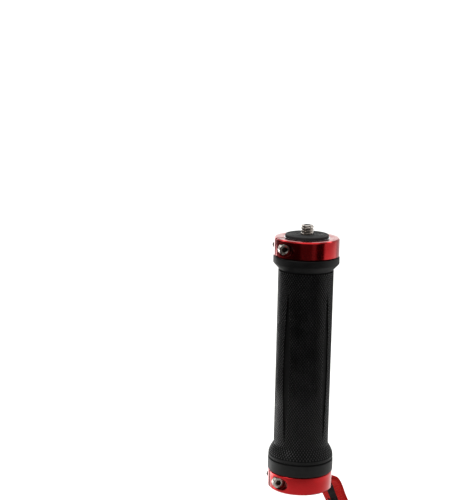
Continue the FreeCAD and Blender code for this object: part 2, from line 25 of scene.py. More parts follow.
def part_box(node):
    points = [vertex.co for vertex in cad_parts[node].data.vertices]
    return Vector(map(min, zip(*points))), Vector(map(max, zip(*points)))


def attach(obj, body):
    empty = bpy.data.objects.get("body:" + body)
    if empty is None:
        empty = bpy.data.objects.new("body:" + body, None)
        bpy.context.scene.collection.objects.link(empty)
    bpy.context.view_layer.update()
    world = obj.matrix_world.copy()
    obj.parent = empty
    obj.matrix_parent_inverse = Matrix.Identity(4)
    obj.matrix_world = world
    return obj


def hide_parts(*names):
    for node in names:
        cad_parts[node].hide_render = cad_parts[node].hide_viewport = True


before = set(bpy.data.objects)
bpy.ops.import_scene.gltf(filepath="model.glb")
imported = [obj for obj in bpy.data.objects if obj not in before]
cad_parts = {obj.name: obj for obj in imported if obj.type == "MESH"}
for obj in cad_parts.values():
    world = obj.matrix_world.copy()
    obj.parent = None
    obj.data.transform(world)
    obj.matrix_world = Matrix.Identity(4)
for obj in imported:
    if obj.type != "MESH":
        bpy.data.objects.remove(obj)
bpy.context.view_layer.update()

LOG = logging.getLogger("hand_grip")
MM = 0.001
PHOTO_WIDTH = 455
PHOTO_HEIGHT = 500
MERGE_DISTANCE = 1e-6
CLOSE_MM = 0.01
SHARP_DEGREES = 35.0
FLAT_DEGREES = 0.5

# Corners of a section: radius and height, or across and through, in millimetres
Outline = list[tuple[float, float]]


# Colour and nodes


def linear(hex_colour: str) -> tuple[float, float, float, float]:
    """Turn an sRGB hex colour to the linear one that shaders take.

    Args:
        hex_colour: six digits, with or without a leading number sign.

    Returns:
        Linear red, green and blue, and an alpha of one.
    """
    digits = hex_colour.lstrip("#")
    shares = [int(digits[start:start + 2], 16) / 255 for start in (0, 2, 4)]
    lit = [s / 12.92 if s <= 0.04045 else ((s + 0.055) / 1.055) ** 2.4 for s in shares]
    return (*lit, 1.0)


def add_node(tree: NodeTree, kind: str, inputs: dict | None = None, **settings: object) -> Node:
    """Add one node with its settings and links.

    Args:
        tree: the node tree that gets it.
        kind: the node's type, without the leading ShaderNode.
        inputs: what each input gets, by name or number: a value, an output socket, or a node,
            which stands for its first output.
        settings: the node's own properties.

    Returns:
        The new node.
    """
    made = tree.nodes.new("ShaderNode" + kind)
    for name, value in settings.items():
        setattr(made, name, value)
    for name, value in (inputs or {}).items():
        if isinstance(value, Node):
            value = value.outputs[0]
        if isinstance(value, NodeSocket):
            tree.links.new(value, made.inputs[name])
        else:
            made.inputs[name].default_value = value
    return made


def new_material(name: str) -> Material:
    """Start a material with an empty node tree.

    Args:
        name: the material's name.

    Returns:
        The material.
    """
    material = bpy.data.materials.new(name)
    material.use_nodes = True
    material.node_tree.nodes.clear()
    return material


def shaded(material: Material, inputs: dict) -> Material:
    """End a material with its Principled shader.

    Args:
        material: the material, whose tree has the nodes that drive the shader.
        inputs: what the shader's inputs get, as add_node takes them.

    Returns:
        The same material.
    """
    shader = add_node(material.node_tree, "BsdfPrincipled", inputs)
    add_node(material.node_tree, "OutputMaterial", {"Surface": shader})
    return material


# Finishes


@dataclass(frozen=True)
class Finish:
    """Surface of two mixed tones, with a fine relief and an uneven gloss."""

    name: str
    dark: str
    light: str
    roughness: float
    spread: ClassVar[tuple[float, float]]

    def textures(self, tree: NodeTree, place: NodeSocket) -> tuple[Node, Node, Node, float, dict]:
        """Give the light tone's share, the gloss, the relief, its depth and the other inputs."""
        raise NotImplementedError

    def material(self) -> Material:
        """Build the node material.

        Returns:
            The material.
        """
        material = new_material(self.name)
        tree = material.node_tree
        place = add_node(tree, "TexCoord").outputs["Object"]
        share, gloss, relief, depth, others = self.textures(tree, place)
        tones = {6: linear(self.dark), 7: linear(self.light)}
        tone = add_node(tree, "Mix", {0: share, **tones}, data_type="RGBA")
        less, more = self.spread
        ends = {"To Min": self.roughness - less, "To Max": self.roughness + more}
        rough = add_node(tree, "MapRange", {"Value": gloss, "From Min": 0.3, "From Max": 0.7, **ends})
        bump = add_node(tree, "Bump", {"Height": relief, "Distance": depth * MM, "Strength": 1.0})
        driven = {"Base Color": tone.outputs[2], "Roughness": rough, "Normal": bump}
        return shaded(material, {**driven, **others})


@dataclass(frozen=True)
class LatheMetal(Finish):
    """Metal turned on a lathe: the tool leaves fine rings, which draw highlights out across them."""

    coat: float = 0.0
    feed_mm: float = 0.35
    groove_mm: float = 0.004
    cloud_mm: float = 4.545
    spread: ClassVar[tuple[float, float]] = (0.05, 0.07)

    def textures(self, tree: NodeTree, place: NodeSocket) -> tuple[Node, Node, Node, float, dict]:
        """Add rings round the Z axis, and clouds.

        Args:
            tree: the material's node tree.
            place: the point in the object.

        Returns:
            What Finish says.
        """
        axes = add_node(tree, "SeparateXYZ", {0: place})
        flat = add_node(tree, "CombineXYZ", {0: axes.outputs[0], 1: axes.outputs[1]})
        radius = add_node(tree, "VectorMath", {0: flat}, operation="LENGTH")
        rings = add_node(tree, "CombineXYZ", {0: radius.outputs["Value"], 1: axes.outputs[2]})
        # Real feed is near 0.1 mm a turn, drawn coarser so that it shows at all
        cut = {"Vector": rings, "Scale": 1 / (self.feed_mm * MM), "Detail": 2.0}
        lines = add_node(tree, "TexNoise", cut, noise_dimensions="2D")
        coarse = {"Scale": 1 / (self.cloud_mm * MM), "Detail": 3.0}
        cloud = add_node(tree, "TexNoise", {"Vector": place, **coarse})
        others = {"Metallic": 1.0, "Coat Weight": self.coat, "Coat Roughness": 0.12}
        return cloud, lines, lines, self.groove_mm, others


@dataclass(frozen=True)
class Moulded(Finish):
    """Moulded rubber or plastic: an even grain from the mould, with cloudy gloss from handling."""

    specular: float
    grain_mm: float
    relief_mm: float
    cloud_mm: float = 6.0
    spread: ClassVar[tuple[float, float]] = (0.07, 0.08)

    def textures(self, tree: NodeTree, place: NodeSocket) -> tuple[Node, Node, Node, float, dict]:
        """Add grain and clouds.

        Args:
            tree: the material's node tree.
            place: the point in the object.

        Returns:
            What Finish says.
        """
        fine = {"Scale": 1 / (self.grain_mm * MM), "Detail": 3.0}
        grain = add_node(tree, "TexNoise", {"Vector": place, **fine})
        coarse = {"Scale": 1 / (self.cloud_mm * MM), "Detail": 4.0, "Roughness": 0.6}
        cloud = add_node(tree, "TexNoise", {"Vector": place, **coarse})
        share = add_node(tree, "MapRange", {"Value": cloud, "From Min": 0.35, "From Max": 0.68})
        others = {"Specular IOR Level": self.specular, "IOR": 1.5}
        return share, cloud, grain, self.relief_mm, others


@dataclass(frozen=True)
class Webbing:
    """Woven polyester webbing: yarns in a plain weave, dyed red at the edges and black in the middle,
    with painted shade between the yarns.
    """

    name: str = "woven_polyester_webbing"
    edge: str = "#bf1611"
    middle: str = "#140d0c"
    middle_mm: float = 5.6
    yarn_mm: float = 0.95
    pick_mm: float = 1.5
    relief_mm: float = 0.22

    def material(self) -> Material:
        """Build the node material, whose pattern follows the band's own UV map in millimetres.

        Returns:
            The material.
        """
        material = new_material(self.name)
        tree = material.node_tree
        place = add_node(tree, "UVMap", uv_map=WristStrap.uv_name)
        axes = add_node(tree, "SeparateXYZ", {0: place})
        across, along = axes.outputs[0], axes.outputs[1]
        yarn = add_node(tree, "Math", {0: across, 1: self.yarn_mm}, operation="DIVIDE")
        column = add_node(tree, "Math", {0: yarn}, operation="FLOOR")
        odd = add_node(tree, "Math", {0: column, 1: 2.0}, operation="FLOORED_MODULO")
        pick_row = add_node(tree, "Math", {0: along, 1: self.pick_mm}, operation="DIVIDE")
        shifted = add_node(tree, "Math", {0: odd, 1: 0.5, 2: pick_row}, operation="MULTIPLY_ADD")
        crowns = []
        for run in (yarn, shifted):
            part = add_node(tree, "Math", {0: run}, operation="FRACT")
            angle = add_node(tree, "Math", {0: part, 1: pi}, operation="MULTIPLY")
            crowns.append(add_node(tree, "Math", {0: angle}, operation="SINE"))
        weave = add_node(tree, "Math", {0: crowns[0], 1: crowns[1]}, operation="MULTIPLY")
        offset = add_node(tree, "Math", {0: across}, operation="ABSOLUTE")
        half = self.middle_mm / 2
        stripe = add_node(tree, "Math", {0: offset, 1: half}, operation="GREATER_THAN")
        dyes = {6: linear(self.middle), 7: linear(self.edge)}
        dye = add_node(tree, "Mix", {0: stripe, **dyes}, data_type="RGBA")
        # Painted shade: the colour darkens to half between the yarns' crowns
        shade = add_node(tree, "MapRange", {"Value": weave, "To Min": 0.5, "To Max": 1.0})
        tone = add_node(tree, "VectorMath", {0: dye.outputs[2], "Scale": shade}, operation="SCALE")
        depth = self.relief_mm * MM
        bump = add_node(tree, "Bump", {"Height": weave, "Distance": depth, "Strength": 1.0})
        matt = {"Roughness": 0.8, "Specular IOR Level": 0.08}
        return shaded(material, {"Base Color": tone, "Normal": bump, **matt})


RED_ANODISED = LatheMetal(
    # Anodised aluminium: dye under a hard clear oxide, so a deep red metal with a pale limb
    "red_anodised_aluminium", "#94070b", "#a90c12", roughness=0.2, coat=0.3, groove_mm=0.002
)
TURNED_ALUMINIUM = LatheMetal(
    # Bare aluminium off the lathe: pale grey, with soft streaks of light across the tool's rings
    "turned_aluminium", "#b9babd", "#cfd0d2", roughness=0.27
)
STAINLESS = LatheMetal(
    # Turned stainless steel: a warmer, darker grey than aluminium, with small hard highlights
    "stainless_steel", "#8a837d", "#a59d96", roughness=0.18, feed_mm=0.25
)
SOCKET_STEEL_OIL_AND_SHADE = LatheMetal(
    # Broached sockets stay rough and hold oil, and are painted darker as shade in the recess, so they
    # look brown and dim
    "broached_socket_oil_and_painted_shade", "#2c221f", "#3d302b", roughness=0.48, groove_mm=0.01
)
OILED_THREAD = LatheMetal(
    # Rolled threads hold thread oil, so they look darker and duller than the bare steel
    "oiled_rolled_thread", "#2a2726", "#3b3735", roughness=0.42, groove_mm=0.006
)
BLACK_OXIDE = LatheMetal(
    # Black oxide on steel, kept with oil: blue-black with weak highlights
    "black_oxide_steel", "#1b1b1e", "#26262a", roughness=0.38
)
GRIP_RUBBER = Moulded(
    # Synthetic rubber: near black, dull, with greyer clouds where it has been handled
    "moulded_grip_rubber", "#080808", "#101010", 0.5, 0.15, grain_mm=0.22, relief_mm=0.012
)
WORN_RUBBER_PAINTED_LIGHT = Moulded(
    # The diamonds' tops: rubbed by the hand, so a little smoother, and greyer partly from wear and
    # partly as painted light on the raised tops
    "worn_rubber_tops_painted_light", "#101010", "#1f1f1f", 0.42, 0.34, grain_mm=0.22, relief_mm=0.012
)
GROOVE_RUBBER_PAINTED_SHADE = Moulded(
    # The cuts between them, the neck groove and the channels: painted shade, a deep dull black for the
    # shadow in the recesses
    "rubber_grooves_painted_shade", "#040404", "#080808", 0.7, 0.12, grain_mm=0.22, relief_mm=0.012
)
PAD_RUBBER = Moulded(
    # Moulded rubber that has to grip: dark grey and dull, with a coarse grain
    "pad_rubber", "#151515", "#1f1f1f", 0.7, 0.35, grain_mm=0.3, relief_mm=0.03
)
BLACK_NYLON = Moulded(
    # Moulded nylon: even black, with the faint sheen of a shallow grain
    "black_nylon", "#121213", "#1b1b1c", 0.5, 0.45, grain_mm=0.4, relief_mm=0.01
)
SLIDER_PLASTIC = Moulded(
    # Moulded acetal: waxy and slippery, so black with a little more gloss than the nylon
    "acetal_plastic", "#0f0f10", "#161617", 0.42, 0.5, 0.35, 0.02
)
THREAD = Moulded(
    # Twisted polyester thread: black with a dry sheen that shows each stitch
    "polyester_thread", "#0e0e0f", "#1a1a1b", 0.62, 0.4, grain_mm=0.15, relief_mm=0.03
)


@cache
def finish_of(finish: Finish | Webbing) -> Material:
    """Build a finish's material once, for all the pieces that share it."""
    return finish.material()


# Modelling by hand


def placed(name: str, data: bpy.types.ID) -> Object:
    """Put a mesh, curve, lamp or camera into the scene, at the origin.

    Args:
        name: the new object's name.
        data: what it holds.

    Returns:
        The new object.
    """
    piece = bpy.data.objects.new(name, data)
    bpy.context.scene.collection.objects.link(piece)
    return piece


def choose(piece: Object) -> None:
    """Select one piece alone and make it active.

    Args:
        piece: the piece.
    """
    bpy.ops.object.select_all(action="DESELECT")
    piece.select_set(True)
    bpy.context.view_layer.objects.active = piece


def added(name: str, primitive: Callable, **settings: object) -> Object:
    """Add a primitive and put its place into its mesh.

    Args:
        name: the piece's name.
        primitive: the operator that adds it.
        settings: the operator's properties.

    Returns:
        The new piece.
    """
    bpy.ops.object.select_all(action="DESELECT")
    primitive(**settings)
    piece = bpy.context.active_object
    piece.name = name
    bpy.ops.object.transform_apply(location=True, rotation=True, scale=True)
    return piece


@contextmanager
def editing(piece: Object) -> Iterator[None]:
    """Keep a piece in edit mode, at first with all of it selected.

    Args:
        piece: the piece.
    """
    choose(piece)
    bpy.ops.object.mode_set(mode="EDIT")
    bpy.ops.mesh.select_all(action="SELECT")
    yield
    bpy.ops.object.mode_set(mode="OBJECT")


def tidied(piece: Object) -> Object:
    """Merge doubles, drop loose edges and turn all faces outwards.

    Args:
        piece: the piece.

    Returns:
        The same piece.
    """
    with editing(piece):
        bpy.ops.mesh.remove_doubles(threshold=MERGE_DISTANCE)
        bpy.ops.mesh.delete_loose()
        bpy.ops.mesh.select_all(action="SELECT")
        bpy.ops.mesh.normals_make_consistent(inside=False)
    return piece


def pick(piece: Object, kind: str, test: Callable) -> None:
    """In edit mode, select the edges or the faces that pass a test, and nothing else.

    Args:
        piece: the piece that is being edited.
        kind: EDGE or FACE.
        test: takes an edge or a face and says whether it is wanted.
    """
    bpy.ops.mesh.select_mode(type=kind)
    bpy.ops.mesh.select_all(action="DESELECT")
    mesh = bmesh.from_edit_mesh(piece.data)
    mesh.verts.index_update()
    for part in mesh.edges if kind == "EDGE" else mesh.faces:
        if test(part):
            part.select_set(True)
    bmesh.update_edit_mesh(piece.data)


def move_points(piece: Object, rule: Callable, selected_only: bool = False) -> None:
    """In edit mode, move points by a rule.

    Args:
        piece: the piece that is being edited.
        rule: takes a point's place and returns its new one.
        selected_only: whether points that aren't selected stay.
    """
    mesh = bmesh.from_edit_mesh(piece.data)
    for vertex in mesh.verts:
        if vertex.select or not selected_only:
            vertex.co = rule(vertex.co)
    bmesh.update_edit_mesh(piece.data)


def assign(piece: Object, slot: int, test: Callable | None = None) -> None:
    """In edit mode, put faces in one of the piece's material slots.

    Args:
        piece: the piece that is being edited.
        slot: the material slot's number.
        test: says which faces, or None for the selected ones.
    """
    if test:
        pick(piece, "FACE", test)
    piece.active_material_index = slot
    bpy.ops.object.material_slot_assign()


def at_radius(place: Vector, radius: float, height: float | None = None) -> Vector:
    """Move a point to a distance from the Z axis, and to a height if one is given, in metres."""
    way = Vector((place.x, place.y, 0)).normalized() * radius
    return Vector((way.x, way.y, place.z if height is None else height))


def compass(azimuth: float) -> tuple[Vector, Vector]:
    """Give the directions away from and round the Z axis, at degrees from +X."""
    turn = radians(azimuth)
    return Vector((cos(turn), sin(turn), 0)), Vector((-sin(turn), cos(turn), 0))


def is_rim(edge: BMEdge, level: float) -> bool:
    """Whether an edge is open and lies at a height, in metres."""
    near = all(abs(vertex.co.z - level) < MERGE_DISTANCE for vertex in edge.verts)
    return edge.is_boundary and near


def is_between(face: BMFace, low: float, high: float) -> bool:
    """Whether all of a face lies between two heights, in millimetres."""
    heights = [vertex.co.z / MM for vertex in face.verts]
    return min(heights) > low - CLOSE_MM and max(heights) < high + CLOSE_MM


def apply_modifier(piece: Object, kind: str, **settings: object) -> None:
    """Add a modifier with its settings and apply it.

    Args:
        piece: the piece.
        kind: the modifier's type.
        settings: the modifier's properties.
    """
    choose(piece)
    modifier = piece.modifiers.new("step", kind)
    for name, value in settings.items():
        setattr(modifier, name, value)
    bpy.ops.object.modifier_apply(modifier=modifier.name)


def carve(piece: Object, cutter: Object, operation: str = "DIFFERENCE") -> None:
    """Cut a piece by another, which is used up and leaves its material on the cut faces.

    Args:
        piece: the piece that is cut.
        cutter: the closed shape that cuts it.
        operation: DIFFERENCE or INTERSECT.
    """
    mode = "TRANSFER" if cutter.data.materials else "INDEX"
    settings = {"operation": operation, "solver": "EXACT", "material_mode": mode}
    apply_modifier(piece, "BOOLEAN", object=cutter, **settings)
    bpy.data.objects.remove(cutter, do_unlink=True)


def smooth_faces(piece: Object, angle: float = 32.0) -> None:
    """Shade a piece smooth wherever its faces meet at less than an angle in degrees."""
    choose(piece)
    bpy.ops.object.shade_smooth_by_angle(angle=radians(angle))


def soften(piece: Object, width_mm: float, segments: int = 2) -> None:
    """Round the sharp edges and smooth the faces between them.

    Args:
        piece: the piece.
        width_mm: the rounding's width.
        segments: faces across the rounding.
    """
    sharp = {"limit_method": "ANGLE", "angle_limit": radians(SHARP_DEGREES)}
    apply_modifier(piece, "BEVEL", width=width_mm * MM, segments=segments, **sharp)
    smooth_faces(piece)


def joined(pieces: list[Object], name: str) -> Object:
    """Join pieces into one.

    Args:
        pieces: the pieces, of which the first stays.
        name: the name of the whole.

    Returns:
        The whole.
    """
    choose(pieces[0])
    for piece in pieces[1:]:
        piece.select_set(True)
    bpy.ops.object.join()
    pieces[0].name = name
    return pieces[0]


def copied(piece: Object, place: Matrix) -> Object:
    """Copy a piece with its own mesh to another place.

    Args:
        piece: the piece.
        place: how the copy's mesh is moved.

    Returns:
        The copy.
    """
    twin = placed(piece.name, piece.data.copy())
    twin.data.transform(place)
    return twin


def node_copy(node: str, name: str) -> Object:
    """Copy a CAD node's shape to a new piece of that name."""
    return tidied(placed(name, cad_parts[node].data.copy()))


def softened_copy(node: str, name: str, width_mm: float) -> Object:
    """Copy a CAD node's shape, merge its triangles and round its edges.

    Args:
        node: the CAD node.
        name: the new piece's name.
        width_mm: the rounding's width.

    Returns:
        The new piece.
    """
    piece = node_copy(node, name)
    with editing(piece):
        bpy.ops.mesh.dissolve_limited(angle_limit=radians(FLAT_DEGREES))
    soften(piece, width_mm)
    return piece


def wire(name: str, corners: Outline) -> Object:
    """Draw a closed outline in the XZ plane, from a circle with as many points.

    Args:
        name: the piece's name.
        corners: radius and height of each corner, in millimetres.

    Returns:
        The outline, with no faces.
    """
    circle = {"vertices": len(corners), "radius": MM, "fill_type": "NOTHING"}
    piece = added(name, bpy.ops.mesh.primitive_circle_add, **circle)
    for vertex, (radius, height) in zip(piece.data.vertices, corners):
        vertex.co = (radius * MM, 0.0, height * MM)
    return piece


def quarter_round(radius: float, height: float, arc: float, way: int = 1) -> Outline:
    """Rounded outer corner of an outline that is turned.

    Args:
        radius: the corner's distance from the axis.
        height: the corner's height.
        arc: the rounding's radius.
        way: 1 for an upper corner and -1 for a lower one.

    Returns:
        Points from the side to the face, in millimetres.
    """
    angles = [radians(22.5 * step) for step in range(5)]
    return [(radius - arc + arc * cos(a), height + way * (arc * sin(a) - arc)) for a in angles]


def turned(name: str, corners: Outline, steps: int = 96) -> Object:
    """Turn a closed outline about the Z axis, as on a lathe.

    Args:
        name: the piece's name.
        corners: radius and height of each corner, in millimetres.
        steps: faces in a full turn.

    Returns:
        The closed solid.
    """
    piece = wire(name, corners)
    with editing(piece):
        bpy.ops.mesh.spin(steps=steps, angle=tau, center=(0, 0, 0), axis=(0, 0, 1))
    return tidied(piece)


def hexagon_bar(across_mm: float, low_mm: float, high_mm: float) -> Object:
    """Make the six-sided bar along Z that cuts a socket, from its width across flats and its ends."""
    return added(
        "socket",
        bpy.ops.mesh.primitive_cylinder_add,
        vertices=6,
        radius=across_mm * MM / 2 / cos(pi / 6),
        depth=(high_mm - low_mm) * MM,
        location=(0, 0, (high_mm + low_mm) / 2 * MM),
    )


@dataclass
class ThreadedRod:
    """Helical thread of a screw or stud, with bevelled ends, along Z."""

    crest: float
    root: float
    pitch: float
    low: float
    high: float
    lead: float
    steps: int = 40
    run_in: float = 1.7
    spare_turns: int = 4
    outside: float = 0.1
    profile: ClassVar[Outline] = [(0, 0), (0.06, 0), (0.44, 1), (0.56, 1), (0.94, 0), (1, 0)]

    def build(self, name: str) -> Object:
        """Wind one pitch of the profile, cut both ends flat and bevel them.

        Args:
            name: the piece's name.

        Returns:
            The closed rod.
        """
        start = self.low - self.run_in * self.pitch
        depth = self.crest - self.root
        corners = [(self.root + up * depth, start + run * self.pitch) for run, up in self.profile]
        piece = wire(name, corners)
        closing = {0, len(corners) - 1}
        with editing(piece):
            pick(piece, "EDGE", lambda edge: {vertex.index for vertex in edge.verts} == closing)
            bpy.ops.mesh.delete(type="EDGE")
        apply_modifier(
            piece,
            "SCREW",
            axis="Z",
            angle=tau,
            screw_offset=self.pitch * MM,
            iterations=ceil((self.high - self.low) / self.pitch) + self.spare_turns,
            steps=self.steps,
            render_steps=self.steps,
            use_merge_vertices=True,
            merge_threshold=MERGE_DISTANCE,
        )
        tidied(piece)
        cut = {"use_fill": True, "clear_outer": True, "threshold": MERGE_DISTANCE}
        with editing(piece):
            for level, way in ((self.low, -1.0), (self.high, 1.0)):
                bpy.ops.mesh.select_all(action="SELECT")
                bpy.ops.mesh.bisect(plane_co=(0, 0, level * MM), plane_no=(0, 0, way), **cut)
        tidied(piece)
        wide, narrow = self.crest + self.outside, self.crest - self.lead
        slope = self.lead + self.outside
        ends = [(0, self.low), (narrow, self.low), (wide, self.low + slope)]
        ends += [(wide, self.high - slope), (narrow, self.high), (0, self.high)]
        carve(piece, turned(name + "_ends", ends, steps=48), "INTERSECT")
        return piece


def dressed(piece: Object, finish: Finish | Webbing, body: str, node: str) -> Object:
    """Give a piece its material and its body, and hide the CAD node that it stands for.

    Args:
        piece: the finished piece.
        finish: what it is made of, or the most of it.
        body: the CAD body that it rides on.
        node: the CAD node that it replaces.

    Returns:
        The same piece.
    """
    if piece.data.materials:
        piece.data.materials[0] = finish_of(finish)
    else:
        piece.data.materials.append(finish_of(finish))
    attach(piece, body)
    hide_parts(node)
    LOG.info("%s: %d faces", piece.name, len(piece.data.polygons))
    return piece


# Camera and strap


@dataclass
class PhotoView:
    """Camera at the photograph's angle, worked out from both lock rings' edges."""

    focal_px: float = 1405.0
    distance_mm: float = 664.7
    height_mm: float = 244.4
    yaw: float = 3.28
    pitch: float = 10.797
    roll: float = 1.164
    sensor_mm: float = 36.0
    clip: tuple[float, float] = (0.01, 50.0)

    def build(self, level_mm: float) -> None:
        """Make the camera.

        Args:
            level_mm: height of the lower ring's face, from which height_mm is measured.
        """
        data = bpy.data.cameras.new("photo_view")
        data.sensor_width = self.sensor_mm
        data.lens = self.focal_px / max(PHOTO_WIDTH, PHOTO_HEIGHT) * self.sensor_mm
        data.clip_start, data.clip_end = self.clip
        camera = placed("photo_view", data)
        place = Vector((0.0, -self.distance_mm * MM, (level_mm + self.height_mm) * MM))
        camera.matrix_world = (
            Matrix.Translation(place)
            @ Matrix.Rotation(radians(self.yaw), 4, "Z")
            @ Matrix.Rotation(radians(90 - self.pitch), 4, "X")
            @ Matrix.Rotation(radians(self.roll), 4, "Z")
        )
        bpy.context.scene.camera = camera


@dataclass
class WristStrap:
    """Webbing strap: in and round the pin, down through the slider and round the wrist loop.

    A point of its route is a distance from the grip's axis and a height over the lower ring's face.
    """

    route: ClassVar[Outline] = [
        # From under the bar tack in to the pin, round it and out again
        (30.42, -15.1), (27.35, -10.15), (23.9, -2.9), (18.9, 2.1), (7.0, 2.15), (2.4, 4.45),
        (-1.75, 4.45), (-1.75, 1.15), (4.5, 0.8), (17.9, 0.9), (22.6, -3.1), (26.3, -10.7),
        (29.5, -15.9), (32.0, -19.9), (31.3, -27.0), (26.2, -36.0),
        # Down through the slider and round the wrist loop
        (25.95, -58.0), (26.0, -78.0), (19.6, -100.0), (8.3, -121.0), (2.0, -145.0),
        (8.5, -169.0), (28.5, -182.0), (48.5, -171.0), (57.0, -147.0), (51.0, -123.0),
        # Up through the slider to where it began
        (37.0, -101.0), (28.8, -78.0), (28.85, -58.0), (28.9, -37.0), (32.6, -28.2),
        (33.4, -19.9), (30.45, -15.15),
    ]
    azimuth: float = 50.0
    width: float = 15.0
    thickness: float = 1.1
    edge_round: float = 0.35
    length: float = 447.8
    exit_reach: float = 15.75
    exit_height: float = 1.5
    fineness: int = 12
    uv_name: ClassVar[str] = "webbing"

    def at(self, reach: float, height: float) -> Vector:
        """Point of the strap's plane in the model's frame.

        Args:
            reach: millimetres from the grip's axis.
            height: millimetres over the lower ring's face.

        Returns:
            The point in metres.
        """
        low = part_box("lower_lock_ring")[0].z
        out, _ = compass(self.azimuth)
        return (out * reach + Vector((0, 0, height))) * MM + Vector((0, 0, low))

    def line(self) -> list[Vector]:
        """Read the smooth line that the route's points control.

        Returns:
            Points along the strap's middle, in metres.
        """
        data = bpy.data.curves.new("strap_line", "CURVE")
        data.dimensions = "3D"
        data.resolution_u = self.fineness
        spline = data.splines.new("NURBS")
        spline.points.add(len(self.route) - 1)
        for point, (reach, height) in zip(spline.points, self.route):
            point.co = (*self.at(reach, height), 1.0)
        spline.order_u = 3
        spline.use_endpoint_u = True
        curve = placed("strap_line", data)
        bpy.context.view_layer.update()
        mesh = bpy.data.meshes.new_from_object(curve)
        points = [vertex.co.copy() for vertex in mesh.vertices]
        bpy.data.objects.remove(curve, do_unlink=True)
        bpy.data.curves.remove(data)
        bpy.data.meshes.remove(mesh)
        return points

    def section(self) -> Outline:
        """Cross-section of the webbing, with its rounded selvedges.

        Returns:
            Corners as millimetres across and through the webbing.
        """
        half, deep, arc = self.width / 2, self.thickness / 2, self.edge_round
        corners = []
        for number, (side, through) in enumerate(((1, 1), (-1, 1), (-1, -1), (1, -1))):
            for step in range(4):
                angle = radians(90 * number + 30 * step)
                across = side * (half - arc) + arc * cos(angle)
                corners.append((across, through * (deep - arc) + arc * sin(angle)))
        return corners

    def build(self) -> tuple[Object, list[Vector]]:
        """Sweep the webbing along its line.

        Returns:
            The band and the points that it follows.
        """
        points = self.line()
        _, side = compass(self.azimuth)
        section = self.section()
        count = len(section)
        mesh = bmesh.new()
        uv = mesh.loops.layers.uv.new(self.uv_name)
        rows, lengths, run = [], [], 0.0
        for index, point in enumerate(points):
            before = points[max(index - 1, 0)]
            after = points[min(index + 1, len(points) - 1)]
            through = (after - before).normalized().cross(side)
            run += (point - before).length
            lengths.append(run / MM)
            rows.append([mesh.verts.new(point + (side * a + through * b) * MM) for a, b in section])
        for row, following in zip(rows, rows[1:]):
            for corner in range(count):
                after = (corner + 1) % count
                mesh.faces.new((row[corner], row[after], following[after], following[corner]))
        mesh.faces.new(rows[0])
        mesh.faces.new(rows[-1])
        mesh.verts.index_update()
        for face in mesh.faces:
            for loop in face.loops:
                row, corner = divmod(loop.vert.index, count)
                loop[uv].uv = (section[corner][0], lengths[row])
        bmesh.ops.recalc_face_normals(mesh, faces=mesh.faces)
        data = bpy.data.meshes.new("striped_wrist_strap")
        mesh.to_mesh(data)
        mesh.free()
        band = placed("striped_wrist_strap", data)
        smooth_faces(band, angle=40.0)
        return band, points


@dataclass
class BarTack:
    """Dense zigzag stitches that sew the strap's neck together."""

    middle: float = 30.85
    neck_face: float = 1.15
    top: float = 14.8
    width: float = 10.0
    height: float = 4.4
    lean: float = 32.0
    rows: int = 3
    stitches: int = 15
    thread: float = 0.5
    thread_depth: float = 0.46
    thread_lift: float = 0.4
    row_fill: float = 0.8
    overlap: float = 1.12

    def build(self, strap: WristStrap) -> Object:
        """Lay one stitch again and again in zigzag rows on both faces.

        Args:
            strap: the strap, which gives the plane.

        Returns:
            All the stitches as one piece.
        """
        row_height = self.height / self.rows
        rise = row_height * self.row_fill
        step = (self.width - self.thread) / self.stitches
        half_length = hypot(step, rise) * self.overlap / 2
        ball = {"segments": 8, "ring_count": 6, "radius": 1.0}
        stitch = added("stitch", bpy.ops.mesh.primitive_uv_sphere_add, **ball)
        half_thick = self.thread / 2
        thickness = self.thread * self.thread_depth
        stitch.data.transform(Matrix.Diagonal((half_thick, thickness, half_length, 1.0)))
        seam = (
            Matrix.Translation(strap.at(self.middle, -self.top - self.height / 2))
            @ Matrix.Rotation(radians(strap.azimuth), 4, "Z")
            @ Matrix.Rotation(radians(-self.lean), 4, "Y")
            @ Matrix.Scale(MM, 4)
        )
        laid = []
        for face, row, number in product((1, -1), range(self.rows), range(self.stitches)):
            tilt = atan2(step, rise) * (1 if number % 2 else -1)
            across = -self.width / 2 + half_thick + (number + 0.5) * step
            down = self.height / 2 - (row + 0.5) * row_height
            out = face * (self.neck_face + self.thread * self.thread_lift)
            spot = Matrix.Translation((out, across, down))
            laid.append(copied(stitch, seam @ spot @ Matrix.Rotation(tilt, 4, "X")))
        bpy.data.objects.remove(stitch, do_unlink=True)
        piece = joined(laid, "bar_tack_stitches")
        smooth_faces(piece, angle=60.0)
        return piece


@dataclass
class Slider:
    """Moulded strap slider with finger ribs across both wide faces."""

    middle: float = 27.4
    half_depth: float = 3.65
    top: float = 40.0
    height: float = 9.0
    ribs: int = 4
    groove: float = 0.55
    groove_sink: float = 0.2
    groove_length: float = 15.0
    edge_round: float = 0.25

    def build(self, strap: WristStrap) -> Object:
        """Round the slider's edges and cut the grooves between its ribs.

        Args:
            strap: the strap, which gives the plane.

        Returns:
            The slider.
        """
        piece = node_copy("strap_slider", "ribbed_slider")
        for face, number in product((1, -1), range(self.ribs)):
            out = self.middle + face * (self.half_depth + self.groove - self.groove_sink * 2)
            down = -self.top - self.height * (number + 1) / (self.ribs + 1)
            cutter = added(
                "groove",
                bpy.ops.mesh.primitive_cylinder_add,
                vertices=16,
                radius=self.groove * MM,
                depth=self.groove_length * MM,
                location=strap.at(out, down),
                rotation=(pi / 2, 0, radians(strap.azimuth)),
            )
            carve(piece, cutter)
        soften(piece, self.edge_round, segments=3)
        return piece


# Rubber sleeve


